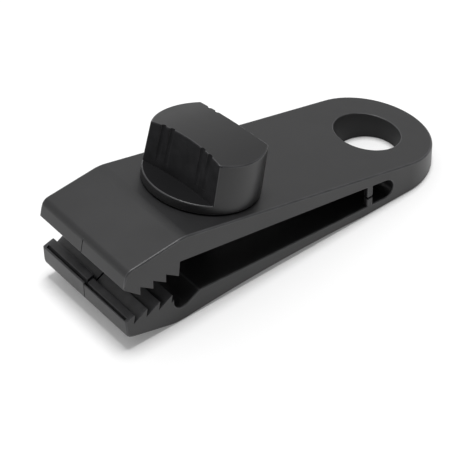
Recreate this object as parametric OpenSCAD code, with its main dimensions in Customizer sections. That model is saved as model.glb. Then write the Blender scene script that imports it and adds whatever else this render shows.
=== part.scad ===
// Tarp clip: toothed jaws on two arms that meet at a tail with a rope eyelet,
// drawn together by a thumb screw. Millimetres, +Z up, jaws towards -X.
// The lower arm lies on the ground; the upper arm rises towards the jaws.

/* [Body] */
// Overall length, from the front of the jaws to the end of the tail
clip_l = 82; // [74:1:100]
// Width of the arms, which is also the diameter of the round tail
clip_w = 26; // [22:1:34]
// Thickness of the tail at the centre of the eyelet
tail_t = 7; // [6:0.25:8]
// Angle between the outer faces of the two arms with the jaws open
open_angle = 13.3; // [12:0.1:14.5]
// Diameter of the rope eyelet
eye_d = 13.4; // [9:0.2:16]
// Wall left around the eyelet where the slot between the arms ends
eye_wall = 1.6; // [1:0.1:2.4]
// Rise of the shallow arch under the lower arm
arch_h = 0.8; // [0.4:0.1:1.2]

/* [Arms] */
// Diameter of the slot's round end beside the eyelet
slot_d = 4; // [3:0.1:4.4]
// Distance from the eyelet's centre to the centre of the slot's round end
slot_back = 6.5; // [5.5:0.1:7.5]
// Thickness of the lower arm under the slot's round end
lower_root_t = 1.9; // [1.5:0.1:2.2]
// Thickness of the lower arm behind the jaw
lower_jaw_t = 5.2; // [4.6:0.1:5.8]
// Thickness of the upper arm behind the jaw
upper_jaw_t = 5.4; // [4.8:0.1:6]
// Length of each stop post along the arm
post_l = 1.4; // [1:0.1:1.8]
// Depth of each stop post, in from the side of the arm
post_w = 1.2; // [0.8:0.1:3]

/* [Jaws] */
// Length of the upper jaw's tapered nose
nose_l = 12.3; // [10:0.1:15]
// Angle of the upper nose's taper
nose_angle = 19; // [15:0.5:22]
// Height of the upper jaw's blunt front face
front_h = 3.6; // [3:0.1:4.2]
// Length of the lower jaw's tapered nose
lower_nose_l = 10.9; // [9:0.1:14]
// Angle of the lower nose's taper
lower_nose_angle = 16; // [14:0.5:20]
// Height of the lower jaw's blunt front face
lower_front_h = 4; // [3.2:0.1:4.4]
// Rounding of the nose's corners
nose_r = 1.2; // [0.4:0.1:1.6]
// Number of teeth on each jaw
tooth_n = 4; // [3:1:4]
// Distance from one tooth to the next
tooth_pitch = 2.85; // [2.4:0.05:3]
// Depth of the teeth
tooth_depth = 1.9; // [1.4:0.1:2.2]
// Lean of the teeth towards the tail
tooth_hook = 0.4; // [0.1:0.05:0.6]
// Height of the lower tooth tips above the ground
lower_tip_h = 7.75; // [7:0.05:8.2]
// Distance from the front face to the first lower tooth tip
lower_tip_in = 2.1; // [1.4:0.1:2.4]
// Depth of the first upper tooth tip below the upper arm's outer face
upper_tip_t = 10.2; // [9.6:0.1:10.6]
// Distance from the front face to the first upper tooth tip
upper_tip_in = 4.2; // [3.6:0.1:4.6]
// Angle of the line of upper tooth tips to the arm's outer face
upper_tip_angle = 9.6; // [8:0.1:11]
// Radius of the rounded pocket behind the lower teeth
pocket_r = 2.05; // [1.6:0.05:2.4]
// Floor left under the pocket
pocket_floor = 3.3; // [2.6:0.1:3.8]

/* [Thumb screw] */
// Distance from the eyelet's centre to the screw, along the upper arm
screw_s = 42.6; // [38:0.2:44]
// Diameter of the knob's flange
knob_d = 22.8; // [19:0.2:25]
// Diameter of the knob at its top
knob_top_d = 22; // [18:0.2:24.4]
// Height of the flange's upper edge above the arm
flange_h = 2.2; // [1.6:0.1:3]
// Height of the ends of the grip bar above the arm
grip_h = 10.2; // [8:0.1:13]
// Rise of the grip bar's crowned top from its ends to its middle
crown_h = 1.4; // [0.6:0.1:2]
// Thickness of the grip bar at its waist
waist_t = 11.9; // [9:0.1:13]
// Depth of the hollow in each finger face
scoop_h = 0.7; // [0.3:0.05:1.2]
// Turn of the grip bar from straight across the arm, with the jaws open
knob_turn = 7.4; // [0:0.2:20]
// Width of the finger grooves
groove_w = 1; // [0.6:0.05:1.3]
// Distance of the inner finger grooves from the middle of the bar
groove_in = 3.9; // [3:0.1:4.2]
// Step from the inner to the outer finger grooves
groove_step = 2; // [1.6:0.1:2.6]
// Outer diameter of the shank's thread
shank_d = 8; // [6:0.1:9]
// Reach of the shank below the upper arm's outer face
shank_l = 14.3; // [13.6:0.1:14.6]

/* [Motion] */
// Angle through which the jaws close
close_angle = 4.5; // [3:0.1:4.8]
// Distance from the eyelet's centre to the bending root of the lower arm
hinge_back = 10.5; // [10.2:0.1:11.5]
// Radius of the curved seam at the bending root
hinge_r = 1.5; // [1.3:0.05:1.7]

/* [Hidden] */
// Running clearance in the curved seam
hinge_gap = 0.05;
// Clearance under the knob's flange
flange_gap = 0.3;
// Clearance of the shank in the upper arm, all round
shank_gap = 0.3;
// Play of the shank in the lower arm, for its change of tilt
shank_play = 0.45;
// Gap between the two halves of a stop post
post_gap = 0.35;
// Lead-in at the tip of the shank
tip_chamfer = 0.8;
// Relief in the underside of the flange
relief_h = 0.8;
relief_wall = 1.3;
hub_wall = 2;
// Part of the knob's radius that the hollow of a finger face spans, each way
scoop_share = 0.75;
// How far cuts run past the faces they leave by
overrun = 1;
// Slope of the ramp from the pocket up to the lower arm
ramp_angle = 30;
// Flat pads left at the two ends of the arch
pad_l = 1.5;
// Small ledge between the last lower tooth and the pocket
ledge_l = 0.3;
ledge_rise = 0.25;
corner_steps = 5;
// Facets of ordinary rounds and of the long, flat arcs
$fn = 96;
long_arc_fn = 720;

eye_x = clip_l / 2 - clip_w / 2;
front_x = -clip_l / 2;
nose_drop = nose_l * tan(nose_angle);
lower_nose_drop = lower_nose_l * tan(lower_nose_angle);

// The slot's round end, and the inner face of the lower arm, as heights over x
slot_x = eye_x - slot_back;
slot_z = lower_root_t + slot_d / 2;
pocket_x = front_x + lower_tip_in + (tooth_n - 1) * tooth_pitch + ledge_l + pocket_r;
pocket_z = pocket_floor + pocket_r;
ramp_x = pocket_x + pocket_r * sin(ramp_angle)
    + (lower_jaw_t - pocket_z + pocket_r * cos(ramp_angle)) / tan(ramp_angle);
lower_slope = (lower_jaw_t - lower_root_t) / (slot_x - ramp_x);
function lower_in(x) = lower_root_t + (slot_x - x) * lower_slope;

// The bending root of the lower arm
hinge_x = eye_x - hinge_back;
hinge_z = lower_in(hinge_x) / 2;

// A point of the upper arm: s along its outer face from the eyelet, t into the arm
function upper(s, t) = [
    eye_x - s * cos(open_angle) - t * sin(open_angle),
    tail_t + s * sin(open_angle) - t * cos(open_angle)
];
upper_front_t = nose_drop + front_h;
upper_front_s = (eye_x - front_x - upper_front_t * sin(open_angle)) / cos(open_angle);

// A point of the upper arm after the jaws have closed by an angle
function closed(p, angle) = [
    hinge_x + (p.x - hinge_x) * cos(angle) - (p.y - hinge_z) * sin(angle),
    hinge_z + (p.x - hinge_x) * sin(angle) + (p.y - hinge_z) * cos(angle)
];

// Where the shank's axis crosses a height, with the jaws closed by an angle
function shank_x(angle, z) =
    let (tip = closed(upper(screw_s, shank_l), angle))
    tip.x + (z - tip.y) * tan(open_angle - angle);

// A corner b of an outline, rounded towards its neighbours a and c
function unit(v) = v / norm(v);
function eased(a, b, c, r) = [
    for (k = [0 : 1 / corner_steps : 1])
        (1 - k) ^ 2 * (b + r * unit(a - b)) + 2 * k * (1 - k) * b + k ^ 2 * (b + r * unit(c - b))
];

// Saw teeth from the front backwards: tip, root, tip, root ... tip, as [distance, depth]
function saw(first, in, tilt, lean) = [
    for (i = [0 : tooth_n - 1], root = [0, 1])
        if (root == 0 || i < tooth_n - 1)
            [first + i * tooth_pitch - root * lean, in - i * tooth_pitch * tan(tilt) - root * tooth_depth]
];

// An outline in x and z, drawn out across the width of the clip
module across(points, w = clip_w) {
    rotate([90, 0, 0]) linear_extrude(height = w, center = true) polygon(points);
}

// A round bar across the clip
module bar(p, r, w = clip_w) {
    translate([p.x, 0, p.y]) rotate([90, 0, 0]) cylinder(h = w, r = r, center = true);
}

// Places its children on the upper arm's outer face, at the screw
module at_screw() {
    p = upper(screw_s, 0);
    translate([p.x, 0, p.y]) rotate([0, open_angle, 0]) children();
}

function lower_outline() =
    let (
        teeth = [for (q = saw(lower_tip_in, lower_tip_h, 0, tooth_hook)) [front_x + q.x, q.y]],
        last = teeth[len(teeth) - 1],
        foot = [last.x - tooth_hook, last.y - tooth_depth],
        heel = [front_x + lower_nose_l, 0],
        chin = [front_x, lower_nose_drop],
        lip = [front_x, lower_nose_drop + lower_front_h],
        ledge = [last.x + ledge_l, foot.y + ledge_rise]
    )
    concat(
        [[hinge_x, 0]],
        eased([hinge_x, 0], heel, chin, nose_r),
        eased(heel, chin, lip, nose_r),
        [lip], teeth,
        [foot, [ledge.x - ledge_rise, ledge.y], [ledge.x + ledge_rise, pocket_z],
         [ramp_x, lower_in(ramp_x)], [hinge_x, lower_in(hinge_x)]]
    );

module lower_jaw() {
    arch_x0 = front_x + lower_nose_l + nose_r + pad_l;
    arch_x1 = hinge_x - pad_l;
    chord = arch_x1 - arch_x0;
    arch_r = (chord ^ 2 / 4 + arch_h ^ 2) / (2 * arch_h);
    seam_x = hinge_x + hinge_r + overrun;
    bore_z = lower_jaw_t / 2;
    bore_x = (shank_x(0, bore_z) + shank_x(close_angle, bore_z)) / 2;
    color("dimgray") difference() {
        union() {
            across(lower_outline());
            // Rounded end of the bending root
            intersection() {
                across([[hinge_x, 0], [seam_x, 0], [seam_x, lower_in(seam_x)],
                        [hinge_x, lower_in(hinge_x)]]);
                bar([hinge_x, hinge_z], hinge_r);
            }
            stop_posts(upper_half = false);
        }
        // Pocket behind the teeth, with its ramp
        bar([pocket_x, pocket_z], pocket_r, clip_w + overrun);
        across([[pocket_x, pocket_z],
                [pocket_x + pocket_r * sin(ramp_angle), pocket_z - pocket_r * cos(ramp_angle)],
                [ramp_x, lower_in(ramp_x)], [ramp_x, lower_in(ramp_x) + overrun],
                [pocket_x, pocket_z + overrun]], clip_w + overrun);
        // Arch under the arm
        bar([(arch_x0 + arch_x1) / 2, arch_h - arch_r], arch_r, clip_w + overrun, $fn = long_arc_fn);
        // Hole for the shank
        translate([bore_x, 0, bore_z]) rotate([0, open_angle - close_angle / 2, 0])
            cylinder(h = 2 * (lower_jaw_t + overrun), r = shank_d / 2 + shank_play, center = true);
    }
}

function upper_in_t(s) =
    let (
        jaw_s = upper_front_s - upper_tip_in - (tooth_n - 1) * tooth_pitch,
        end_s = (eye_x - slot_x) / cos(open_angle),
        end_t = (tail_t + (eye_x - slot_x) * tan(open_angle) - slot_z - slot_d / 2) * cos(open_angle)
    )
    end_t + (s - end_s) * (upper_jaw_t - end_t) / (jaw_s - end_s);

function upper_outline() =
    let (
        kink = upper(upper_front_s - nose_l, 0),
        brow = upper(upper_front_s, nose_drop),
        lip = upper(upper_front_s, upper_front_t),
        teeth = [for (q = saw(upper_tip_in, upper_tip_t, upper_tip_angle, tooth_hook))
                 upper(upper_front_s - q.x, q.y)],
        jaw_s = upper_front_s - upper_tip_in - (tooth_n - 1) * tooth_pitch,
        tail_x = eye_x + clip_w / 2 + overrun,
        tail_top = upper(-(tail_x - eye_x) / cos(open_angle), 0)
    )
    concat(
        [[hinge_x, 0], [tail_x, 0], tail_top],
        eased(tail_top, kink, brow, nose_r),
        eased(kink, brow, lip, nose_r),
        [lip], teeth,
        [upper(jaw_s + tooth_hook, upper_in_t(jaw_s)),
         [slot_x, slot_z + slot_d / 2], [slot_x, slot_z - slot_d / 2],
         [hinge_x, lower_in(hinge_x)]]
    );

module upper_jaw() {
    color("slategray") difference() {
        union() {
            difference() {
                intersection() {
                    across(upper_outline());
                    // Plan of the clip: straight sides and a round tail
                    union() {
                        translate([front_x - overrun, -clip_w / 2, -overrun])
                            cube([eye_x - front_x + overrun, clip_w, clip_l]);
                        translate([eye_x, 0, -overrun]) cylinder(h = clip_l, d = clip_w);
                    }
                }
                // Round end of the slot
                bar([slot_x, slot_z], slot_d / 2, clip_w + overrun);
                // Seat of the bending root
                bar([hinge_x, hinge_z], hinge_r + hinge_gap, clip_w + overrun);
            }
            // Wall round the eyelet, which the slot stops at
            intersection() {
                translate([eye_x, 0, 0]) cylinder(h = clip_l, r = eye_d / 2 + eye_wall);
                across([[hinge_x, 0], [eye_x, 0], upper(0, 0), upper(hinge_back / cos(open_angle), 0)]);
            }
            stop_posts(upper_half = true);
        }
        translate([eye_x, 0, -overrun]) cylinder(h = clip_l, d = eye_d);
        at_screw() cylinder(h = 2 * (upper_jaw_t + overrun), r = shank_d / 2 + shank_gap, center = true);
    }
}

// Short posts at the sides of the slot that stop the arms from being crushed at their roots
module stop_posts(upper_half) {
    x0 = hinge_x - post_l / 2;
    x1 = hinge_x + post_l / 2;
    top = function (x) upper((eye_x - x) / cos(open_angle), 0).y - overrun;
    mid = (lower_in(hinge_x) + slot_z + slot_d / 2 + (slot_x - hinge_x) * tan(open_angle) / 2) / 2;
    points = upper_half
        ? [[x0, mid + post_gap / 2], [x1, mid + post_gap / 2], [x1, top(x1)], [x0, top(x0)]]
        : [[x0, lower_in(x0) / 2], [x1, lower_in(x1) / 2], [x1, mid - post_gap / 2], [x0, mid - post_gap / 2]];
    for (side = [-1, 1])
        translate([0, side * (clip_w - post_w) / 2, 0]) across(points, post_w);
}

module thumb_screw() {
    knob_r = knob_d / 2;
    waist = waist_t / 2;
    scoop_r = ((knob_r * scoop_share) ^ 2 + scoop_h ^ 2) / (2 * scoop_h);
    crown_r = (knob_r ^ 2 + crown_h ^ 2) / (2 * crown_h);
    bar_h = grip_h + crown_h;
    color("darkslategray") at_screw() {
        difference() {
            union() {
                // Flange
                translate([0, 0, flange_gap]) cylinder(h = flange_h - flange_gap, d = knob_d);
                // Grip bar: a tapered round, cut to a waist and crowned along its length
                rotate([0, 0, knob_turn]) difference() {
                    intersection() {
                        translate([0, 0, flange_gap])
                            cylinder(h = bar_h - flange_gap, d1 = knob_d, d2 = knob_top_d);
                        translate([0, 0, bar_h - crown_r]) rotate([0, 90, 0])
                            cylinder(h = knob_d, r = crown_r, center = true, $fn = long_arc_fn);
                    }
                    for (side = [-1, 1]) {
                        translate([side * (waist + scoop_r), 0, flange_h])
                            cylinder(h = bar_h, r = scoop_r, $fn = long_arc_fn);
                        for (end = [-1, 1], step = [0, 1])
                            finger_groove(side, end * (groove_in + step * groove_step), waist, scoop_r, bar_h);
                    }
                }
                // Shank
                translate([0, 0, tip_chamfer - shank_l])
                    cylinder(h = shank_l - tip_chamfer + flange_h, d = shank_d);
                translate([0, 0, -shank_l])
                    cylinder(h = tip_chamfer, d1 = shank_d - 2 * tip_chamfer, d2 = shank_d);
            }
            // Relief under the flange, between the rim and the hub
            translate([0, 0, flange_gap - overrun]) difference() {
                cylinder(h = relief_h + overrun, r = knob_r - relief_wall);
                cylinder(h = relief_h + overrun, r = shank_d / 2 + hub_wall);
            }
        }
    }
}

// One upright groove in a finger face of the grip bar
module finger_groove(side, y, waist, scoop_r, bar_h) {
    face = waist + scoop_r - sqrt(scoop_r ^ 2 - y ^ 2);
    translate([side * face, y, flange_h]) cylinder(h = bar_h, d = groove_w);
}

lower_jaw();
upper_jaw();
thumb_screw();
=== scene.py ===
# %% [markdown]
# # A tarp clip in black nylon
# The clip is two injection mouldings: a V-shaped body with toothed jaws and a rope eyelet, and a
# thumb screw that draws the jaws together. The engineering model gives the sizes and the joints.
# This lesson dresses it: the same forms with moulded edges, a real thread, and a satin nylon.
# Lengths are written in millimetres while a piece is modelled, and scaled to metres at the end.

from math import asin, cos, pi, radians, sin, sqrt, tan

import bmesh
import bpy
from mathutils import Matrix, Vector
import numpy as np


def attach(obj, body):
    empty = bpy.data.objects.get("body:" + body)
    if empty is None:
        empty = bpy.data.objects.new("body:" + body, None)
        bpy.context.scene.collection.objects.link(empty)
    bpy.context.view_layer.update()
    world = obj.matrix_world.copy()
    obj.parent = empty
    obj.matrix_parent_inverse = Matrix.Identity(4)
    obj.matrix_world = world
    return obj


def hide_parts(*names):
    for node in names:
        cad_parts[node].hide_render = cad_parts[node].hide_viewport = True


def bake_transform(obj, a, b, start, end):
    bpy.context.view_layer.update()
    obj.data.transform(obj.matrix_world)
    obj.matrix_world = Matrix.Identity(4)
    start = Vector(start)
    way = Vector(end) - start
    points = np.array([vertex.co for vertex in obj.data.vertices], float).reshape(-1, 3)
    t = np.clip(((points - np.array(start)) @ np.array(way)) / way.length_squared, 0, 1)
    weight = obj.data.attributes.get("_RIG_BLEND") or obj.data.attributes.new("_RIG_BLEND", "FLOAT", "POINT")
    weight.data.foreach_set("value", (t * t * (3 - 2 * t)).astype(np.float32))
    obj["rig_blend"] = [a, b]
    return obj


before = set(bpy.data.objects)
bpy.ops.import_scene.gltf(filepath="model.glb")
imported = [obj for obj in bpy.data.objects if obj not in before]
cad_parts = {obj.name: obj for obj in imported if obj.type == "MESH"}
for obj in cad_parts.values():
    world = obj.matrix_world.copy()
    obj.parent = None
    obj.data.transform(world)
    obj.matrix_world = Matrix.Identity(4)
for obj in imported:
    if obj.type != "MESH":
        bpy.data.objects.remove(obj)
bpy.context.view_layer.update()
MM = 0.001

# %% [markdown]
# ## The camera
# The photographer stood off the clip's near front corner and looked down by some 42 degrees with a
# long lens. A camera can be aimed with a Track To constraint, but three angles and a place say the
# same with nothing left to update, and they also hold the small roll of the frame.

# %% Camera
IMAGE_PX, SENSOR, FOCAL_PX = 470, 36.0, 2172.8
CAMERA_AT = Vector((-196.31, -244.40, 281.53)) * MM
AZIMUTH, ELEVATION, ROLL = radians(-37.965), radians(42.359), radians(-1.166)

back = Vector((sin(AZIMUTH) * cos(ELEVATION), -cos(AZIMUTH) * cos(ELEVATION), sin(ELEVATION)))
level = (-back).cross(Vector((0, 0, 1))).normalized()
upright = level.cross(-back)
right = level * cos(ROLL) + upright * sin(ROLL)
up = upright * cos(ROLL) - level * sin(ROLL)

scene = bpy.context.scene
lens = bpy.data.cameras.new("photo_camera")
lens.sensor_width = SENSOR
lens.lens = FOCAL_PX * SENSOR / IMAGE_PX
camera = bpy.data.objects.new("photo_camera", lens)
camera.matrix_world = Matrix.Translation(CAMERA_AT) @ Matrix((right, up, back)).transposed().to_4x4()
scene.collection.objects.link(camera)
scene.camera = camera
print("lens", round(lens.lens, 1), "mm, camera", round(CAMERA_AT.length, 3), "m from the clip's base")

# %% [markdown]
# ## Colours and shader nodes
# Screen colours are stored with the sRGB curve, and a shader wants plain light, so one function
# undoes the curve. A second small function adds a node, sets its fields, and fills its inputs with
# a value or with a wire from another node: that keeps each material readable as a list of steps.

# %% Helpers for materials
def linear(hex_colour):
    """An sRGB hex colour as the linear RGBA that a shader takes."""
    parts = [int(hex_colour[i:i + 2], 16) / 255 for i in (1, 3, 5)]
    return [c / 12.92 if c <= 0.04045 else ((c + 0.055) / 1.055) ** 2.4 for c in parts] + [1.0]


def add_node(tree, kind, inputs=None, **fields):
    """One node of a material, with its fields set and its inputs filled or wired."""
    node = tree.nodes.new(kind)
    for name, value in fields.items():
        setattr(node, name, value)
    for name, value in (inputs or {}).items():
        if isinstance(value, bpy.types.NodeSocket):
            tree.links.new(value, node.inputs[name])
        else:
            node.inputs[name].default_value = value
    return node


def new_material(name):
    """An empty node material, its node tree, and its output node."""
    material = bpy.data.materials.new(name)
    material.use_nodes = True
    material.node_tree.nodes.clear()
    return material, material.node_tree, add_node(material.node_tree, "ShaderNodeOutputMaterial")


print("middle grey, linear:", [round(c, 4) for c in linear("#808080")])

# %% [markdown]
# ## Studio: pale sweep, soft light
# The clip lies on a white sweep, with a bright backdrop behind and above it and a dim room on the
# camera's side. Black satin plastic is seen mostly by what it reflects, so that difference draws
# the form: faces turned to the backdrop or the sweep look grey, and the finger face of the knob,
# which mirrors only dark nylon, looks nearly black. A single gradient over the sky says it, where
# lamps alone would leave hard spots. The floor is pale paint, topped up to paper white for the
# eye, so its soft shadow stays. A Sun lamp with a wide disc is the softbox overhead: a nearer Area
# lamp would do the same for the clip, but it would leave the far parts of the sweep grey.

# %% Room
DIM_SIDE, BRIGHT_SIDE = 0.17, 0.70
DIM_UP_TO, BRIGHT_FROM = 0.05, 0.65
TO_BACKDROP = (-0.10, 0.85, 0.52)
scene.view_settings.view_transform = "Standard"
room = bpy.data.worlds.new("studio_room")
scene.world = room
room.use_nodes = True
tree = room.node_tree
tree.nodes.clear()
outwards = add_node(tree, "ShaderNodeTexCoord").outputs["Generated"]
facing = add_node(tree, "ShaderNodeVectorMath", {0: outwards, 1: TO_BACKDROP}, operation="DOT_PRODUCT")
brightness = add_node(tree, "ShaderNodeMapRange", {
    0: facing.outputs["Value"], 1: DIM_UP_TO, 2: BRIGHT_FROM, 3: DIM_SIDE, 4: BRIGHT_SIDE},
    interpolation_type="SMOOTHSTEP")
sky = add_node(tree, "ShaderNodeBackground", {
    "Color": linear("#ffffff"), "Strength": brightness.outputs[0]})
add_node(tree, "ShaderNodeOutputWorld", {"Surface": sky.outputs[0]})
print("sky from", DIM_SIDE, "in the room to", BRIGHT_SIDE, "at the backdrop")

# %% Floor
FLOOR_SIDE, FLOOR_TOP_UP = 3000, 0.15
floor_paint, tree, output = new_material("white_sweep_paint")
path = add_node(tree, "ShaderNodeLightPath")
seen = add_node(tree, "ShaderNodeMath", {
    0: path.outputs["Is Camera Ray"], 1: path.outputs["Is Glossy Ray"]}, operation="MAXIMUM")
seen = add_node(tree, "ShaderNodeMath", {
    0: seen.outputs[0], 1: path.outputs["Is Transmission Ray"]}, operation="MAXIMUM")
glow = add_node(tree, "ShaderNodeMath", {0: seen.outputs[0], 1: FLOOR_TOP_UP}, operation="MULTIPLY")
# Matt and pale: bright paper to the eye, on which the clip's soft shadow still shows
paint = add_node(tree, "ShaderNodeBsdfPrincipled", {
    "Base Color": linear("#e4e4e4"), "Roughness": 0.9, "Specular IOR Level": 0.0,
    "Emission Color": linear("#ffffff"), "Emission Strength": glow.outputs[0]})
tree.links.new(paint.outputs[0], output.inputs["Surface"])

bm = bmesh.new()
bmesh.ops.create_grid(bm, x_segments=1, y_segments=1, size=FLOOR_SIDE / 2 * MM)
floor_mesh = bpy.data.meshes.new("floor")
bm.to_mesh(floor_mesh)
bm.free()
floor = bpy.data.objects.new("floor", floor_mesh)
floor.data.materials.append(floor_paint)
scene.collection.objects.link(floor)
print("floor", FLOOR_SIDE, "mm square")

# %% Key light
# A Sun lamp shines the same from any distance, so only the direction of KEY_FROM counts
KEY_FROM, KEY_STRENGTH, KEY_SPREAD = Vector((50, 20, 640)), 2.45, radians(19)
key_lamp = bpy.data.lights.new("key_light", "SUN")
key_lamp.energy, key_lamp.angle = KEY_STRENGTH, KEY_SPREAD
key_light = bpy.data.objects.new("key_light", key_lamp)
key_light.matrix_world = KEY_FROM.to_track_quat("Z", "Y").to_matrix().to_4x4()
scene.collection.objects.link(key_light)
print("key light from", [round(c, 2) for c in KEY_FROM.normalized()])

# %% [markdown]
# ## Black nylon
# Both mouldings are black glass-free nylon. The steel mould was lightly blasted, so the skin is
# satin: a dark body colour, a broad soft reflection, a faint grain, and slow cloudy changes in
# gloss where the melt cooled unevenly. The knob's hollows and the eyelet's bore came off coarser
# tool faces, so they are matt. Some faces are painted a paler grey: painted light on the lower
# teeth and on the knob's hollows, and on the arrises handling wear together with a painted
# highlight.
# Which faces are which could be painted, but a number on each face does it exactly, and the
# material reads it. A flat black would look like a hole in the picture, and hide the form.

# %% Noise by its width
# The last width is of the patches in which marked faces are painted paler, for wear and painted light
CLOUD_W, GRAIN_W, PALE_PATCH_W = 9.0, 0.22, 2.5


def noise(tree, place, seed, width, detail):
    """Noise whose blobs have some width in millimetres; each seed gives another pattern."""
    return add_node(tree, "ShaderNodeTexNoise", {
        "Vector": place, "W": seed, "Scale": 1 / (width * MM), "Detail": detail},
        noise_dimensions="4D").outputs["Fac"]


print("noise scales:", [round(1 / (width * MM)) for width in (CLOUD_W, GRAIN_W, PALE_PATCH_W)])

# %% Nylon materials
CLOUD_LOW, CLOUD_HIGH, UNEVEN_GLOSS = 0.3, 0.7, 0.05
GLEAM, MATT_GLEAM, MATT_ROUGHNESS = 0.46, 0.04, 0.75
NYLON_IOR, GRAIN_STRENGTH, GRAIN_DEPTH = 1.53, 0.12, 0.03


def moulded_nylon(name, body, cloud, pale_wear_and_light, gloss, seed):
    """Satin black nylon: body and cloud colours, the paler colour painted for wear and painted light, and a
    base roughness.
    """
    material, tree, output = new_material(name)
    place = add_node(tree, "ShaderNodeTexCoord").outputs["Object"]
    # Melt clouds, in colour and in gloss
    clouds = noise(tree, place, seed, CLOUD_W, 3.0)
    # Blasted grain: the real one is nearer 0.05 mm, too fine to show, so it is drawn coarser
    grain = noise(tree, place, seed, GRAIN_W, 2.0)
    pale_patches = noise(tree, place, seed + 5, PALE_PATCH_W, 6.0)
    tone = add_node(tree, "ShaderNodeMix", {0: clouds, 6: linear(body), 7: linear(cloud)}, data_type="RGBA")
    # Marked faces are painted paler in patches, for wear and for painted light and highlights
    wear_and_painted_light = add_node(tree, "ShaderNodeAttribute", attribute_name="wear_and_painted_light").outputs["Fac"]
    pale_share = add_node(tree, "ShaderNodeMath", {0: wear_and_painted_light, 1: pale_patches}, operation="MULTIPLY")
    colour = add_node(tree, "ShaderNodeMix", {
        0: pale_share.outputs[0], 6: tone.outputs[2], 7: linear(pale_wear_and_light)}, data_type="RGBA")
    satin = add_node(tree, "ShaderNodeMapRange", {
        0: clouds, 1: CLOUD_LOW, 2: CLOUD_HIGH, 3: gloss - UNEVEN_GLOSS, 4: gloss + UNEVEN_GLOSS})
    # Faces marked as matt came off coarser tool faces: rougher, and with less gleam
    matt = add_node(tree, "ShaderNodeAttribute", attribute_name="matt").outputs["Fac"]
    sheen = add_node(tree, "ShaderNodeMapRange", {0: matt, 3: satin.outputs[0], 4: MATT_ROUGHNESS})
    gleam = add_node(tree, "ShaderNodeMapRange", {0: matt, 3: GLEAM, 4: MATT_GLEAM})
    bump = add_node(tree, "ShaderNodeBump", {
        "Height": grain, "Strength": GRAIN_STRENGTH, "Distance": GRAIN_DEPTH * MM})
    skin = add_node(tree, "ShaderNodeBsdfPrincipled", {
        "Base Color": colour.outputs[2], "Roughness": sheen.outputs[0], "IOR": NYLON_IOR,
        "Specular IOR Level": gleam.outputs[0], "Normal": bump.outputs[0]})
    tree.links.new(skin.outputs[0], output.inputs["Surface"])
    return material


# Satin black: grey where it mirrors the sweep, and dark where it mirrors itself
# The third colour is the paler grey painted on marked faces, for wear and painted light
body_nylon = moulded_nylon("moulded_black_nylon_body", "#1b1b1c", "#222223", "#525254", 0.42, 0.0)
# The screw is a shade darker and a little glossier, so the knob stands off the arm
screw_nylon = moulded_nylon("moulded_black_nylon_screw", "#171718", "#1d1d1e", "#48484a", 0.40, 3.0)
print("materials:", body_nylon.name, screw_nylon.name)

# %% [markdown]
# ## Modelling tools
# Most of this part is prisms: an outline drawn out in one direction, with other prisms cut away,
# as the mould's cores do. So there is one helper for an outline, one for rounding its corners, one
# that draws it out, and one that cuts or joins. Vertices could be placed by hand as well, but an
# outline keeps every size as a number that can be read and changed.

# %% Outlines and prisms
SAME_POINT = 1e-4


def verts_in(geom):
    """The vertices among the parts that a bmesh operator gives back."""
    return [part for part in geom if isinstance(part, bmesh.types.BMVert)]


def outline(points, y):
    """A flat face through a few (x, z) points, at one place across the clip, and its corners."""
    bm = bmesh.new()
    corners = [bm.verts.new((x, y, z)) for x, z in points]
    bm.faces.new(corners)
    return bm, corners


def round_corners(bm, corners, reach, steps=6):
    """Rounds corners of a flat outline; reach is how far the round runs along each side."""
    bmesh.ops.bevel(bm, geom=corners, offset=reach, offset_type="OFFSET", affect="VERTICES",
                    segments=steps, profile=0.5, material=-1, clamp_overlap=False)


def draw_out(bm, by):
    """Draws every flat face of a bmesh out by a vector, into closed prisms."""
    moved = bmesh.ops.extrude_face_region(bm, geom=bm.faces[:], use_keep_orig=True)["geom"]
    bmesh.ops.translate(bm, verts=verts_in(moved), vec=by)
    bmesh.ops.remove_doubles(bm, verts=bm.verts[:], dist=SAME_POINT)
    bmesh.ops.recalc_face_normals(bm, faces=bm.faces[:])


def solid(bm, name):
    """Turns a bmesh into an object, and frees the bmesh."""
    mesh = bpy.data.meshes.new(name)
    bm.to_mesh(mesh)
    bm.free()
    piece = bpy.data.objects.new(name, mesh)
    scene.collection.objects.link(piece)
    return piece


print("prism helpers ready; points within", SAME_POINT, "mm count as one")

# %% Cutting and joining
SOLVER = "EXACT"
SORT_ALONG = Vector((0.547, 0.721, 0.425))


def freeze(piece):
    """Writes a piece's modifiers into its mesh."""
    ready = piece.evaluated_get(bpy.context.evaluated_depsgraph_get())
    before, piece.data = piece.data, bpy.data.meshes.new_from_object(ready)
    piece.modifiers.clear()
    bpy.data.meshes.remove(before)


def put_in_order(piece):
    """Sorts a mesh by place, because the solver's threads give it in another order on each run."""
    bm = bmesh.new()
    bm.from_mesh(piece.data)
    bm.verts.sort(key=lambda v: v.co.dot(SORT_ALONG))
    bm.edges.sort(key=lambda e: (e.verts[0].co + e.verts[1].co).dot(SORT_ALONG))
    bm.faces.sort(key=lambda f: f.calc_center_median().dot(SORT_ALONG))
    bm.to_mesh(piece.data)
    bm.free()


def combine(piece, tool, operation="DIFFERENCE"):
    """Cuts a tool out of a piece, joins it on, or keeps what they share; the tool is used up."""
    step = piece.modifiers.new("combine", "BOOLEAN")
    step.operation, step.object, step.solver = operation, tool, SOLVER
    freeze(piece)
    put_in_order(piece)
    bpy.data.objects.remove(tool)


print("cuts and joins use the", SOLVER, "solver")

# %% [markdown]
# ## Sizes of the body
# The lower arm lies flat and the upper arm leans back from it by the opening angle, from the
# eyelet. Points of the upper arm are easiest to give on the arm itself: a distance s along its
# outer face from the eyelet, and a depth t into the arm. Between the arms is a slot with a round
# end, and from there the lower arm thickens steadily towards its jaw.

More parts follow.
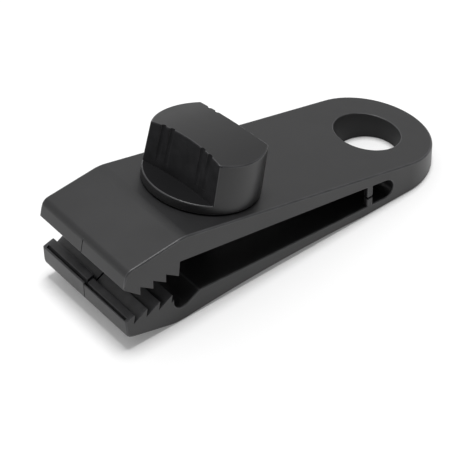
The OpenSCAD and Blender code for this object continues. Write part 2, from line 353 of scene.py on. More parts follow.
# %% Body sizes
CLIP_L, CLIP_W, TAIL_T, OPEN = 82.0, 26.0, 7.0, radians(13.3)
HALF_W = CLIP_W / 2
EYE_X, FRONT_X = CLIP_L / 2 - HALF_W, -CLIP_L / 2
NOSE_L, NOSE_ANGLE, FRONT_H = 12.3, radians(19), 3.6
NOSE_DROP = NOSE_L * tan(NOSE_ANGLE)
UPPER_FRONT_T = NOSE_DROP + FRONT_H
UPPER_FRONT_S = (EYE_X - FRONT_X - UPPER_FRONT_T * sin(OPEN)) / cos(OPEN)


def on_arm(s, t):
    """A point (x, z) of the upper arm."""
    return EYE_X - s * cos(OPEN) - t * sin(OPEN), TAIL_T + s * sin(OPEN) - t * cos(OPEN)


print("upper arm", round(UPPER_FRONT_S, 2), "mm from eyelet to front")

# %% Slot between the arms
SLOT_R, SLOT_X, LOWER_ROOT_T = 2.0, EYE_X - 6.5, 1.9
SLOT_Z = LOWER_ROOT_T + SLOT_R
LOWER_JAW_T, LOWER_SLOPE_X = 5.2, -24.16
LOWER_SLOPE = (LOWER_JAW_T - LOWER_ROOT_T) / (SLOT_X - LOWER_SLOPE_X)


def lower_top(x):
    """Height of the lower arm's inner face."""
    return LOWER_ROOT_T + (SLOT_X - x) * LOWER_SLOPE


print("lower arm", LOWER_ROOT_T, "mm thick at the root and", LOWER_JAW_T, "mm at the jaw")

# %% [markdown]
# ## The upper arm and the tail
# In the mould this is one run of nylon, from the jaw's blunt front to the round tail. Its side view
# is an outline with two soft corners at the nose and a round-ended slot; its top view is a strip
# with a half-round end. Drawing both out and keeping what they share gives the whole form at once,
# where pushing single vertices about would not keep the tail truly round.

# %% Upper arm: side view
TOOTH_N, TOOTH_PITCH, TOOTH_HOOK, UPPER_JAW_T = 4, 2.85, 0.4, 5.4
TOOTH_RUN = (TOOTH_N - 1) * TOOTH_PITCH
UPPER_TIP_IN, UPPER_TIP_T, UPPER_TIP_ANGLE = 4.2, 10.2, radians(9.6)
JAW_S = UPPER_FRONT_S - UPPER_TIP_IN - TOOTH_RUN
SEAM_X, OVERRUN, NOSE_R = 19.6, 2.0, 1.2
TAIL_X = EYE_X + HALF_W + OVERRUN
# Rounds that meet stay a hair apart, so that no two points fall together
ROUND_SHARE = 0.99

upper_tips = [(UPPER_FRONT_S - UPPER_TIP_IN - i * TOOTH_PITCH,
               UPPER_TIP_T - i * TOOTH_PITCH * tan(UPPER_TIP_ANGLE)) for i in range(TOOTH_N)]
side_view = [
    (SEAM_X, 0), (TAIL_X, 0), on_arm(-(TAIL_X - EYE_X) / cos(OPEN), 0),
    on_arm(UPPER_FRONT_S - NOSE_L, 0), on_arm(UPPER_FRONT_S, NOSE_DROP),
    on_arm(UPPER_FRONT_S, UPPER_FRONT_T),
    on_arm(*upper_tips[0]), on_arm(*upper_tips[-1]), on_arm(JAW_S + TOOTH_HOOK, UPPER_JAW_T),
    (SLOT_X + SLOT_R, SLOT_Z + SLOT_R), (SLOT_X + SLOT_R, SLOT_Z - SLOT_R), (SLOT_X, LOWER_ROOT_T),
    (SEAM_X, lower_top(SEAM_X))]
bm, corners = outline(side_view, -HALF_W - OVERRUN)
nose, slot_end = corners[3:5], corners[9:11]
round_corners(bm, slot_end, SLOT_R * ROUND_SHARE, steps=10)
round_corners(bm, nose, NOSE_R)
draw_out(bm, (0, CLIP_W + 2 * OVERRUN, 0))
upper_arm = solid(bm, "upper_arm")
print("side view of", len(side_view), "corners,", len(upper_arm.data.polygons), "faces")

# %% Upper arm: top view
ROUND_STEPS = 96
bm = bmesh.new()
front_right = bm.verts.new((FRONT_X - OVERRUN, -HALF_W, -OVERRUN))
side_right = bm.verts.new((EYE_X, -HALF_W, -OVERRUN))
swept = bmesh.ops.spin(bm, geom=[side_right], cent=(EYE_X, 0, -OVERRUN), axis=(0, 0, 1), angle=pi,
                       steps=ROUND_STEPS // 2, use_merge=False, use_duplicate=False)
side_left = verts_in(swept["geom_last"])[0]
front_left = bm.verts.new((FRONT_X - OVERRUN, HALF_W, -OVERRUN))
for pair in ((front_right, side_right), (side_left, front_left), (front_left, front_right)):
    bm.edges.new(pair)
bmesh.ops.contextual_create(bm, geom=bm.edges[:])
draw_out(bm, (0, 0, CLIP_L))
combine(upper_arm, solid(bm, "top_view"), "INTERSECT")
print("upper arm blank", len(upper_arm.data.polygons), "faces")

# %% [markdown]
# ## Saw teeth
# Each jaw has four saw teeth whose tips lean towards the tail, so that cloth slips in easily and
# not out. A triangular cutter could be copied along the jaw, but two copies would touch in a bare
# line at each tip, so one zigzag cutter takes out the whole row. On the real clip the mould's
# inserts meet at mid-width and don't quite line up, so the two halves are cut apart, with the far
# half a little out of step: that small jog is the first thing the eye finds on the jaws.

# %% Teeth of the upper jaw
TOOTH_DEPTH, TOOTH_JOG = 1.9, 0.45
# The cutters of the two halves overlap by a hair, and take a hair off each tip
HALF_OVERLAP, TIP_CUT = 0.02, 0.02


def across(points, y0, y1):
    """A prism: an outline of (x, z) points drawn out from one place across the clip to another."""
    bm = outline(points, y0)[0]
    draw_out(bm, (0, y1 - y0, 0))
    return solid(bm, "across")


def cut_teeth(jaw, first_tip, gap_root, step, out, far_lift=0.0):
    """Cuts the gaps between teeth; points are (x, z), step leads to the next tip, out leaves the jaw."""
    near = 0.0, 0.0, -HALF_W - OVERRUN, HALF_OVERLAP
    far = TOOTH_JOG, far_lift, -HALF_OVERLAP, HALF_W + OVERRUN
    tip, root = Vector(first_tip), Vector(gap_root)
    last = tip + step * (TOOTH_N - 1)
    zigzag = [p + step * i for i in range(TOOTH_N - 1) for p in (tip - out * TIP_CUT, root)]
    gaps = zigzag + [last - out * TIP_CUT, last + out, tip + out]
    for jog, lift, y0, y1 in (near, far):
        combine(jaw, across([p + step.normalized() * jog + out * lift for p in gaps], y0, y1))


tip_0, tip_1 = Vector(on_arm(*upper_tips[0])), Vector(on_arm(*upper_tips[1]))
root_0 = on_arm(upper_tips[0][0] + TOOTH_HOOK, upper_tips[0][1] - TOOTH_DEPTH)
cut_teeth(upper_arm, tip_0, root_0, tip_1 - tip_0, Vector(on_arm(0, 1)) - Vector(on_arm(0, 0)))
print("upper jaw cut,", len(upper_arm.data.polygons), "faces")

# %% Upper jaw: parting line on the front
SEAM_W, SEAM_IN, CLEAR = 0.2, 0.14, 1.0
SEAM_TOP_T, SEAM_FOOT_T = NOSE_DROP - 0.6, UPPER_FRONT_T + 0.2


def rectangle(x0, z0, x1, z1):
    """The four corners between two opposite ones."""
    return [(x0, z0), (x1, z0), (x1, z1), (x0, z1)]


line = rectangle(UPPER_FRONT_S - SEAM_IN, SEAM_TOP_T, UPPER_FRONT_S + CLEAR, SEAM_FOOT_T)
combine(upper_arm, across([on_arm(s, t) for s, t in line], -SEAM_W / 2, SEAM_W / 2))
print("parting line", SEAM_W, "mm wide and", SEAM_IN, "mm deep")

# %% [markdown]
# ## Eyelet, stop posts and screw hole
# A rope or a hook pulls at the eyelet, so a ring of wall fills the slot's root around it. In the
# slot stand two pairs of short posts that nearly meet, and stop the arms where the root has bent
# enough. In the mould the holes are core pins and the posts are pockets. Here small boxes make the
# posts, and a rod cuts each hole once the arm is whole, which keeps it round right through.

# %% Upper arm: wall ring and stop posts
EYE_R, EYE_WALL, WALL_INSIDE = 6.7, 1.6, 0.3
POST_L, POST_W, POST_GAP, HINGE_X = 1.4, 1.2, 0.35, EYE_X - 10.5
POST_MID = (lower_top(HINGE_X) + SLOT_Z + SLOT_R + (SLOT_X - HINGE_X) * tan(OPEN) / 2) / 2
# The posts end inside the arm, so that they join it
UPPER_POST_TOP = TAIL_T + 0.5


def rod(at, along, radius, length, steps=64):
    """A round bar through a point, along a direction: a tool for holes and hollows."""
    bm = bmesh.new()
    turn = Vector((0, 0, 1)).rotation_difference(Vector(along)).to_matrix().to_4x4()
    bmesh.ops.create_cone(bm, cap_ends=True, segments=steps, radius1=radius, radius2=radius,
                          depth=length, matrix=Matrix.Translation(at) @ turn)
    return solid(bm, "rod")


def stop_posts(z0, z1):
    """A pair of short posts at the sides of the slot."""
    bm = bmesh.new()
    for side in (-1, 1):
        place = Matrix.Translation((HINGE_X, side * (HALF_W - POST_W / 2), (z0 + z1) / 2))
        bmesh.ops.create_cube(bm, size=1, matrix=place @ Matrix.Diagonal((POST_L, POST_W, z1 - z0, 1)))
    return solid(bm, "stop_posts")


wall = rod((EYE_X, 0, TAIL_T / 2), (0, 0, 1), EYE_R + EYE_WALL, 2 * TAIL_T, ROUND_STEPS)
between_faces = [(HINGE_X, WALL_INSIDE), (EYE_X, WALL_INSIDE), on_arm(0, WALL_INSIDE),
                 on_arm((EYE_X - HINGE_X) / cos(OPEN), WALL_INSIDE)]
combine(wall, across(between_faces, -HALF_W, HALF_W), "INTERSECT")
combine(upper_arm, wall, "UNION")
combine(upper_arm, stop_posts(POST_MID + POST_GAP / 2, UPPER_POST_TOP), "UNION")
print("posts at x", HINGE_X, "mm, with a gap of", POST_GAP, "mm")

# %% Upper arm: eyelet and screw hole
SCREW_S, SHANK_R, SHANK_PLAY = 42.6, 4.0, 0.3
SCREW_AXIS = Vector((sin(OPEN), 0, cos(OPEN)))
screw_x, screw_z = on_arm(SCREW_S, 0)
combine(upper_arm, rod((EYE_X, 0, 0), (0, 0, 1), EYE_R, CLIP_L, ROUND_STEPS))
combine(upper_arm, rod((screw_x, 0, screw_z), SCREW_AXIS, SHANK_R + SHANK_PLAY, CLIP_W))
print("screw's axis meets the arm at x", round(screw_x, 2), "z", round(screw_z, 2), "mm")

# %% [markdown]
# ## Moulded arrises
# No edge of a moulding is sharp: the mould's own corners are round by a few tenths of a millimetre,
# and by less on the teeth. A Bevel modifier with a width for every edge rounds them all in one
# pass, and so also the corners where wide and fine edges meet, which would need mending if the
# edges were rounded group by group. The narrow strips that it leaves get a number that says how
# much paler they are painted, for handling wear and a painted highlight, for the nylon to read.

# %% Marks and arrises
STRIP_W, STRIP_WEAR_AND_HIGHLIGHT = 0.22, 0.9
SHARP_FROM, FLAT_WITHIN = radians(24), radians(0.1)


def mark(piece, name, chosen, share):
    """Marks the faces that chosen(face) picks as matt, or as painted paler for wear and painted light, by a
    share, for the material to find.
    """
    bm = bmesh.new()
    bm.from_mesh(piece.data)
    marks = bm.faces.layers.float.get(name) or bm.faces.layers.float.new(name)
    for face in filter(chosen, bm.faces):
        face[marks] = share
    bm.to_mesh(piece.data)
    bm.free()


def is_strip(face):
    """The narrow faces that round an arris, painted paler for handling wear and a painted highlight."""
    return face.calc_area() < STRIP_W * max(edge.calc_length() for edge in face.edges)


def arris(piece, width_of, steps=3, merge=2e-3):
    """Rounds each sharp edge by width_of(edge), in millimetres, once points within merge are joined."""
    bm = bmesh.new()
    bm.from_mesh(piece.data)
    bmesh.ops.remove_doubles(bm, verts=bm.verts[:], dist=merge)
    bmesh.ops.dissolve_limit(bm, angle_limit=FLAT_WITHIN, verts=bm.verts[:], edges=bm.edges[:])
    weight = bm.edges.layers.float.new("bevel_weight_edge")
    for edge in bm.edges:
        if edge.is_convex and edge.calc_face_angle(0) > SHARP_FROM:
            edge[weight] = width_of(edge)
    bm.to_mesh(piece.data)
    bm.free()
    step = piece.modifiers.new("arris", "BEVEL")
    # At a width of 1 mm, an edge's weight is its own width in millimetres
    step.limit_method, step.width, step.segments, step.profile = "WEIGHT", 1.0, steps, 0.5
    step.use_clamp_overlap, step.material = False, -1
    freeze(piece)
    # The rounding strips are painted paler: handling wear and a painted highlight
    mark(piece, "wear_and_painted_light", is_strip, STRIP_WEAR_AND_HIGHLIGHT)
    print(piece.name, "rounded,", len(piece.data.polygons), "faces")


print("edges are sharp from", round(SHARP_FROM * 180 / pi), "degrees")

# %% Upper arm: arrises
EYE_ARRIS, OUTER_ARRIS, FRONT_ARRIS = 0.2, 0.4, 0.35
FOOT_ARRIS, INNER_ARRIS, TOOTH_ARRIS = 0.35, 0.25, 0.1
# How far from a line or face still counts as on it, from strict to loose
HAIR, CLOSE, NEAR, BESIDE = 0.01, 0.05, 0.1, 0.3
FRONT_REACH, TEETH_BACK_X, SEAM_BACK_X = 1.5, -25, screw_x - 8


def middle(edge):
    """The middle of an edge."""
    return (edge.verts[0].co + edge.verts[1].co) / 2


def on_seam(edge):
    """Edges of the seams at mid-width, which stay sharp."""
    return all(abs(v.co.y) < 1.5 * SEAM_W for v in edge.verts)


def upper_arris(edge):
    """Arris widths of the upper arm, in millimetres."""
    x, y, z = middle(edge)
    along = (EYE_X - x) * cos(OPEN) + (z - TAIL_T) * sin(OPEN)
    depth = (EYE_X - x) * sin(OPEN) - (z - TAIL_T) * cos(OPEN)
    outer_face = max(0, along - UPPER_FRONT_S + NOSE_L) * tan(NOSE_ANGLE)
    at_root = abs(x - SEAM_X) < HAIR and z < lower_top(SEAM_X) + HAIR
    if at_root or x < SEAM_BACK_X and on_seam(edge):
        return 0.0
    if abs(Vector((x - EYE_X, y)).length - EYE_R) < NEAR:
        return EYE_ARRIS
    if x < TEETH_BACK_X and depth > UPPER_JAW_T + NEAR:
        if abs(y) < HALF_W - NEAR:
            return TOOTH_ARRIS
        is_upright = abs(edge.verts[0].co.x - edge.verts[1].co.x) < FRONT_REACH
        return FRONT_ARRIS if is_upright and x < FRONT_X + FRONT_REACH else 0.0
    if depth < outer_face + BESIDE or x < FRONT_X + FRONT_REACH:
        return OUTER_ARRIS
    return FOOT_ARRIS if z < BESIDE else INNER_ARRIS


arris(upper_arm, upper_arris)

# %% Upper arm: matt bore and finish
EYE_MATT, BORE_LEAN, SMOOTH_BELOW = 0.5, 0.5, radians(50)


def in_eyelet(face):
    """Faces of the eyelet's bore, left by a coarser core pin."""
    from_axis = face.calc_center_median().xy - Vector((EYE_X, 0))
    return abs(face.normal.z) < BORE_LEAN and from_axis.length < EYE_R + CLOSE


def finish_piece(piece, material):
    """Metres, smooth shading that stays flat on flat faces, and the material."""
    piece.data.transform(Matrix.Scale(MM, 4))
    piece.data.shade_smooth()
    piece.data.set_sharp_from_angle(angle=SMOOTH_BELOW)
    flat_faces = piece.modifiers.new("flat_faces", "WEIGHTED_NORMAL")
    flat_faces.weight, flat_faces.keep_sharp = 50, True
    piece.data.materials.clear()
    piece.data.materials.append(material)
    print(piece.name, len(piece.data.polygons), "faces", [round(d / MM, 2) for d in piece.dimensions], "mm")


mark(upper_arm, "matt", in_eyelet, EYE_MATT)
finish_piece(upper_arm, body_nylon)

# %% [markdown]
# ## The lower arm
# The lower arm is thin where it joins the tail, so that it can bend there, and thick at the jaw.
# Below it is a long shallow arch; behind the teeth is a rounded pocket with a ramp. The side view
# holds all of that: corners are rounded while the outline is still flat, and the arch comes from
# dividing one long edge and lifting its points. The far half of the jaw stands a little higher, so
# the whole outline is drawn at that height and the near half is cut down before the teeth.

# %% Lower arm: side view
LOWER_NOSE_L, LOWER_NOSE_ANGLE, LOWER_FRONT_H = 10.9, radians(16), 4.0
LOWER_NOSE_DROP = LOWER_NOSE_L * tan(LOWER_NOSE_ANGLE)
LIP_Z = LOWER_NOSE_DROP + LOWER_FRONT_H
LOWER_TIP_IN, LOWER_TIP_H, FAR_LIFT = 2.1, 7.75, 0.35
POCKET_R, POCKET_FLOOR, LEDGE_L, LEDGE_RISE, RAMP = 2.05, 3.3, 0.3, 0.25, radians(30)
ARCH_H, ARCH_FROM, ARCH_TO = 0.8, -27.4, 16.0

lift = Vector((0, FAR_LIFT))
lip = Vector((FRONT_X, LIP_Z))
first_tip = Vector((FRONT_X + LOWER_TIP_IN, LOWER_TIP_H))
last_tip = first_tip + Vector((TOOTH_RUN, 0))
tooth_foot = LOWER_TIP_H - TOOTH_DEPTH
pocket_x, ledge_z = last_tip.x + LEDGE_L, tooth_foot + LEDGE_RISE
ramp_foot = pocket_x + POCKET_R + POCKET_R * sin(RAMP) - POCKET_R * (1 - cos(RAMP)) / tan(RAMP)
side_view = [
    (ARCH_TO, 0), (ARCH_FROM, 0), (FRONT_X + LOWER_NOSE_L, 0), (FRONT_X, LOWER_NOSE_DROP), lip + lift,
    first_tip + lift, last_tip + lift, (last_tip.x - TOOTH_HOOK, tooth_foot), (pocket_x, ledge_z),
    (pocket_x, POCKET_FLOOR), (ramp_foot, POCKET_FLOOR), (LOWER_SLOPE_X, LOWER_JAW_T),
    (SEAM_X, lower_top(SEAM_X)), (SEAM_X, 0)]
bm, corners = outline(side_view, -HALF_W)
arch_ends, nose, pocket, ramp = corners[0:2], corners[2:4], corners[9:10], corners[10:11]
round_corners(bm, nose, NOSE_R)
round_corners(bm, pocket, POCKET_R * ROUND_SHARE, steps=8)
round_corners(bm, ramp, POCKET_R * tan(RAMP / 2), steps=4)
print("side view of", len(bm.verts), "points, pocket at x", round(pocket_x, 2), "mm")

# %% Lower arm: arch below
ARCH_CUTS = 23
span = [e for e in arch_ends[0].link_edges if arch_ends[1] in e.verts]
bmesh.ops.subdivide_edges(bm, edges=span, cuts=ARCH_CUTS)
for v in (v for v in bm.verts if ARCH_FROM < v.co.x < ARCH_TO and v.co.z < HAIR):
    share = (2 * v.co.x - ARCH_FROM - ARCH_TO) / (ARCH_TO - ARCH_FROM)
    v.co.z = ARCH_H * (1 - share ** 2)
draw_out(bm, (0, CLIP_W, 0))
lower_arm = solid(bm, "lower_arm")
print("lower arm blank", len(lower_arm.data.polygons), "faces")

# %% Teeth of the lower jaw
above_near_half = [
    lip + (lip - first_tip), lip, first_tip, last_tip + Vector((CLEAR, 0)),
    last_tip + Vector((CLEAR, OVERRUN)), lip + Vector((-CLEAR, OVERRUN))]
combine(lower_arm, across(above_near_half, -HALF_W - OVERRUN, 0))
cut_teeth(lower_arm, first_tip, first_tip - Vector((TOOTH_HOOK, TOOTH_DEPTH)), Vector((TOOTH_PITCH, 0)),
          Vector((0, 1)), FAR_LIFT)
print("lower jaw cut,", len(lower_arm.data.polygons), "faces")

# %% Lip grooves and mid-width seams
LIP_END, SEAM_RUN, GROOVE_SKEW = HALF_W - 0.7, 0.3, 0.4
# Start behind the front, width and depth of the groove on either half
NEAR_GROOVE, FAR_GROOVE = (0.3, 0.45, 0.7), (0.4, 0.6, 0.7)


def lip_groove(start, wide, deep, top):
    """Outline of the narrow groove behind the jaw's front lip."""
    x = FRONT_X + start
    foot = (x + wide * GROOVE_SKEW, top - deep)
    return [(x, top), foot, (x + wide, top), (x + wide, top + CLEAR), (x, top + CLEAR)]


combine(lower_arm, across(lip_groove(*NEAR_GROOVE, LIP_Z), -LIP_END, 0))
combine(lower_arm, across(lip_groove(*FAR_GROOVE, LIP_Z + FAR_LIFT), 0, LIP_END))
in_teeth = rectangle(FRONT_X + SEAM_RUN, tooth_foot - SEAM_RUN, last_tip.x, LIP_Z + CLEAR)
combine(lower_arm, across(in_teeth, -SEAM_W, SEAM_W / 2))
in_front = rectangle(FRONT_X - CLEAR, LOWER_NOSE_DROP - SEAM_RUN, FRONT_X + SEAM_IN, LIP_Z + CLEAR)
combine(lower_arm, across(in_front, -SEAM_W / 2, SEAM_W / 2))
print("grooves", NEAR_GROOVE[2], "and", FAR_GROOVE[2], "mm deep")

# %% Lower arm: stop posts and screw hole
HOLE_R, HOLE_X, HOLE_Z = 4.45, -16.67, 2.29
# The hole leans halfway between the open and the closed clip, so the shank clears it at both
HALF_CLOSED = radians(2.25)
hole_tilt = OPEN - HALF_CLOSED
combine(lower_arm, stop_posts(LOWER_ROOT_T / 2, POST_MID - POST_GAP / 2), "UNION")
combine(lower_arm, rod((HOLE_X, 0, HOLE_Z), (sin(hole_tilt), 0, cos(hole_tilt)), HOLE_R, CLIP_W))
print("hole", 2 * HOLE_R, "mm across for a shank of", 2 * SHANK_R, "mm")

# %% Lower arm: arrises, scuffs and finish
LIP_ARRIS, LOWER_NOSE_ARRIS, UNDER_Z = 0.3, 0.45, 1.2
FACING_UP, FACING_FRONT, FRONT_SKIN = 0.3, -0.8, 0.2
TEETH_PAINTED_LIGHT, FAR_FRONT_WEAR = 1.0, 0.5


def lower_arris(edge):
    """Arris widths of the lower arm, in millimetres."""
    x, y, z = middle(edge)
    if x > SEAM_X - HAIR or x < pocket_x and on_seam(edge):
        return 0.0
    if x < pocket_x + BESIDE and z > tooth_foot - NEAR:
        if abs(y) < HALF_W - NEAR:
            return TOOTH_ARRIS
        return LIP_ARRIS if x < FRONT_X + NEAR else 0.0
    if x < FRONT_X + FRONT_REACH:
        return LOWER_NOSE_ARRIS
    return FOOT_ARRIS if z < UNDER_Z else INNER_ARRIS


def on_teeth(face):
    """The upward faces of the lower teeth, painted paler: painted light on faces that the upper jaw shades.
    """
    x, _, z = face.calc_center_median()
    return x < pocket_x and z > ledge_z - BESIDE and face.normal.z > FACING_UP


def on_far_front(face):
    """The front of the far half, whose mould insert left a rougher skin."""
    x, y, _ = face.calc_center_median()
    return y > SEAM_W and face.normal.x < FACING_FRONT and x < FRONT_X + FRONT_SKIN


arris(lower_arm, lower_arris)
# Painted light: the teeth's upward faces are painted paler
mark(lower_arm, "wear_and_painted_light", on_teeth, TEETH_PAINTED_LIGHT)
mark(lower_arm, "wear_and_painted_light", on_far_front, FAR_FRONT_WEAR)
finish_piece(lower_arm, body_nylon)

# %% [markdown]
# ## The thumb screw
# The knob is turned in form: a round flange, and above it a slightly tapered round whose two sides
# are scooped away for finger and thumb, leaving a bar with a crowned top. A round face drawn up
# and down makes the turned blank in a few steps; the crown and the scoops are parts of very large
# rounds, kept or cut away. Upright grooves in the scoops keep wet fingers from slipping. They lean
# a little and so run out above the flange, and they are cut after the arris is rounded, because a
# bevel that had to follow their narrow ends would fold over itself.

# %% Turned blank of the screw
KNOB_R, KNOB_TOP_R, FLANGE_H, FLANGE_GAP = 11.4, 11.0, 2.2, 0.3
GRIP_H, CROWN_H, RIM, RELIEF, HUB_R = 10.2, 1.4, 1.3, 0.8, 6.0
CORE_R, SHANK_L, TIP_CHAMFER = 3.25, 14.3, 0.8
BAR_H = GRIP_H + CROWN_H


def faces_in(geom):
    """The faces among the parts that a bmesh operator gives back."""
    return [part for part in geom if isinstance(part, bmesh.types.BMFace)]


def pull(bm, face, by, to_share=1.0):
    """Draws a round face along the screw's axis, to a share of its size, and gives the new end face."""
    new = bmesh.ops.extrude_face_region(bm, geom=[face])["geom"]
    bmesh.ops.translate(bm, verts=verts_in(new), vec=(0, 0, by))
    bmesh.ops.scale(bm, verts=verts_in(new), vec=(to_share, to_share, 1))
    if face.is_valid:
        bm.faces.remove(face)
    return faces_in(new)[0]


def narrow(bm, face, by):
    """Insets a round face by a width, and gives the smaller face."""
    bmesh.ops.inset_region(bm, faces=[face], thickness=by, use_even_offset=True)
    return face


bm = bmesh.new()
bmesh.ops.create_circle(bm, cap_ends=True, segments=ROUND_STEPS, radius=KNOB_R,
                        matrix=Matrix.Translation((0, 0, FLANGE_GAP)))
under = bm.faces[:][0]
raised = bmesh.ops.extrude_face_region(bm, geom=[under], use_keep_orig=True)["geom"]
bmesh.ops.translate(bm, verts=verts_in(raised), vec=(0, 0, FLANGE_H - FLANGE_GAP))
pull(bm, faces_in(raised)[0], BAR_H - FLANGE_H, KNOB_TOP_R / KNOB_R)
under = pull(bm, narrow(bm, under, RIM), RELIEF)
under = pull(bm, narrow(bm, under, KNOB_R - RIM - HUB_R), -RELIEF)
under = pull(bm, narrow(bm, under, HUB_R - CORE_R), TIP_CHAMFER - SHANK_L - FLANGE_GAP)
pull(bm, under, -TIP_CHAMFER, (CORE_R - TIP_CHAMFER) / CORE_R)
bmesh.ops.recalc_face_normals(bm, faces=bm.faces[:])
thumb_screw = solid(bm, "thumb_screw_moulding")
print("turned blank", len(thumb_screw.data.polygons), "faces")

# %% Crown and scoops
WAIST, SCOOP_H, SCOOP_SHARE = 5.95, 0.7, 0.75
ARC_REACH, ARC_STEPS = 8.2, 48
crown_r = (KNOB_R ** 2 + CROWN_H ** 2) / (2 * CROWN_H)
scoop_r = ((KNOB_R * SCOOP_SHARE) ** 2 + SCOOP_H ** 2) / (2 * SCOOP_H)


def arched_block(radius, deep, length, place):
    """A block with a long, flat arch along y as its top, which runs on straight at both ends."""
    bm = bmesh.new()
    lean = asin(ARC_REACH / radius)
    foot = radius * (cos(lean) - 1)
    end_y = KNOB_R + OVERRUN
    end_z = foot - (end_y - ARC_REACH) * tan(lean)
    start = bm.verts.new((0, -ARC_REACH, foot))
    arc = bmesh.ops.spin(bm, geom=[start], cent=(0, 0, -radius), axis=(-1, 0, 0), angle=2 * lean,
                         steps=ARC_STEPS, use_merge=False, use_duplicate=False)["geom_last"]
    block = [(0, -end_y, end_z), (0, -end_y, -deep), (0, end_y, -deep), (0, end_y, end_z)]
    chain = [start] + [bm.verts.new(p) for p in block] + verts_in(arc)
    for pair in zip(chain, chain[1:]):
        bm.edges.new(pair)
    bmesh.ops.contextual_create(bm, geom=bm.edges[:])
    draw_out(bm, (length, 0, 0))
    bmesh.ops.translate(bm, verts=bm.verts[:], vec=(-length / 2, 0, 0))
    bmesh.ops.transform(bm, matrix=place, verts=bm.verts[:])
    return solid(bm, "arched_block")


under_crown = arched_block(crown_r, CLIP_W + BAR_H, 3 * KNOB_R, Matrix.Translation((0, 0, BAR_H)))
combine(thumb_screw, under_crown, "INTERSECT")
for side in (-1, 1):
    at_face = Matrix.Translation((side * WAIST, 0, FLANGE_H + BAR_H / 2))
    sideways = Matrix.Rotation(-side * pi / 2, 4, "Y")
    combine(thumb_screw, arched_block(scoop_r, KNOB_R, BAR_H, at_face @ sideways))
print("crown radius", round(crown_r, 1), "scoop radius", round(scoop_r, 1), "mm")

# %% Arrises of the screw
RIM_ARRIS, UNDER_ARRIS, BAR_ARRIS = 0.22, 0.12, 0.3
# Where the steps of two rounds cross, points fall close together, so more are joined than elsewhere
SCREW_MERGE = 0.06


def screw_arris(edge):
    """Arris widths of the thumb screw, in millimetres."""
    x, y, z = middle(edge)
    if z > FLANGE_H + CLOSE:
        return BAR_ARRIS
    return RIM_ARRIS if Vector((x, y)).length > KNOB_R - BESIDE else UNDER_ARRIS


arris(thumb_screw, screw_arris, merge=SCREW_MERGE)

# %% Finger grooves
GROOVES, GROOVE_R, GROOVE_OUT, GROOVE_LEAN, GROOVE_L = (3.9, 5.9), 0.62, 0.1, 0.05, 15.4
for side, end, groove in [(s, e, g) for s in (-1, 1) for e in (-1, 1) for g in GROOVES]:
    face_x = WAIST + GROOVE_OUT + scoop_r - sqrt(scoop_r ** 2 - groove ** 2)
    lean = (-side * GROOVE_LEAN, 0, 1)
    combine(thumb_screw, rod((side * face_x, end * groove, BAR_H), lean, GROOVE_R, GROOVE_L, steps=24))
print("grooves at", GROOVES, "mm from the middle,", len(thumb_screw.data.polygons), "faces")

# %% Matt hollows and ledges
RIM_ROUND, FACING_SIDE, HOLLOW_PAINTED_LIGHT = 0.25, 0.5, 0.5


def within_rim(x, y):
    """Places on the knob inside its rounded rim."""
    return Vector((x, y)).length < KNOB_R - RIM_ROUND


def in_hollow(face):
    """Faces of the two hollows for finger and thumb."""
    x, y, z = face.calc_center_median()
    inside = z > FLANGE_H - CLOSE and within_rim(x, y)
    return inside and abs(face.normal.x) > FACING_SIDE and abs(x) < WAIST + SCOOP_H + CLOSE


def on_ledge(face):
    """Faces of the ledge that the flange leaves below each hollow."""
    x, y, z = face.calc_center_median()
    return abs(z - FLANGE_H) < CLOSE and within_rim(x, y)


mark(thumb_screw, "matt", lambda face: in_hollow(face) or on_ledge(face), 1.0)
# Painted light: the hollows, which mirror only dark nylon, are painted paler
mark(thumb_screw, "wear_and_painted_light", in_hollow, HOLLOW_PAINTED_LIGHT)
print("marks on the screw:", [a.name for a in thumb_screw.data.attributes if a.domain == "FACE"])

# %% [markdown]
# ## The screw thread
# The shank carries a coarse thread, some three millimetres to a turn, that draws the lower arm up.
# A helix is a spin that also climbs: each step turns the thread's small outline a little and lifts
# it. The first and last rings sink into the core, as a moulded thread runs out.

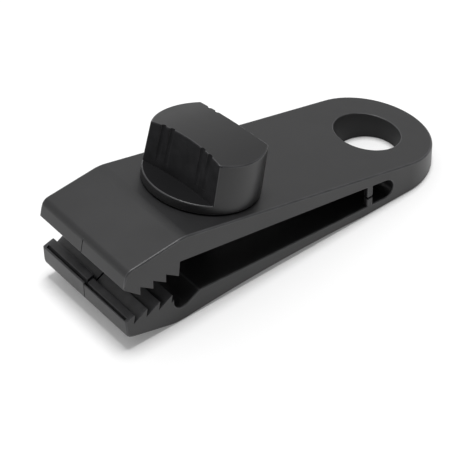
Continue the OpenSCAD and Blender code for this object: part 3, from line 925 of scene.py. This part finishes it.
# %% Thread
LEAD, STEPS_A_TURN = 3.0, 48
THREAD_FROM, THREAD_TO = -SHANK_L + 1.6, -1.2
ROOT_R, CREST_R, ROOT_HALF, CREST_HALF = CORE_R - 0.2, SHANK_R - 0.06, 1.0, 0.35
RUN_OUT = 0.76
bm = bmesh.new()
form = [(ROOT_R, -ROOT_HALF), (CREST_R, -CREST_HALF), (CREST_R, CREST_HALF), (ROOT_R, ROOT_HALF)]
loop = [bm.verts.new((r, 0, THREAD_FROM + z)) for r, z in form]
for pair in zip(loop, loop[1:] + loop[:1]):
    bm.edges.new(pair)
thread_steps = int((THREAD_TO - THREAD_FROM) / LEAD * STEPS_A_TURN)
end = bmesh.ops.spin(bm, geom=loop + bm.edges[:], cent=(0, 0, 0), axis=(0, 0, 1),
                     dvec=(0, 0, LEAD / STEPS_A_TURN), angle=2 * pi * thread_steps / STEPS_A_TURN,
                     steps=thread_steps, use_merge=False, use_duplicate=False)["geom_last"]
for ring in (loop, verts_in(end)):
    bmesh.ops.scale(bm, verts=ring, vec=(RUN_OUT, RUN_OUT, 1))
bmesh.ops.holes_fill(bm, edges=[e for e in bm.edges if e.is_boundary], sides=4)
bmesh.ops.recalc_face_normals(bm, faces=bm.faces[:])
print("thread", round(thread_steps / STEPS_A_TURN, 2), "turns")

# %% Stand the screw in the arm
KNOB_TURN = radians(7.4)
bm.from_mesh(thumb_screw.data)
stand = (Matrix.Translation((screw_x, 0, screw_z)) @ Matrix.Rotation(OPEN, 4, "Y")
         @ Matrix.Rotation(KNOB_TURN, 4, "Z"))
bmesh.ops.transform(bm, matrix=stand, verts=bm.verts[:])
bm.to_mesh(thumb_screw.data)
bm.free()
finish_piece(thumb_screw, screw_nylon)

# %% [markdown]
# ## Joints
# The upper arm and the screw simply ride on their bodies. The lower arm bends: its thin root is a
# living hinge, so the piece follows the lower body up to the root and the upper body beyond it,
# and turns smoothly in between. That keeps the body one unbroken moulding at every pose.

# %% Ride on the frame
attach(upper_arm, "upper_jaw")
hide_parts("upper_jaw")
ROOT_FROM, ROOT_TO = 15.0, 19.4
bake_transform(lower_arm, "lower_jaw", "upper_jaw", start=(ROOT_FROM * MM, 0, MM), end=(ROOT_TO * MM, 0, MM))
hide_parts("lower_jaw")
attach(thumb_screw, "thumb_screw")
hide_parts("thumb_screw")
print("pieces:", [piece.name for piece in (upper_arm, lower_arm, thumb_screw)])
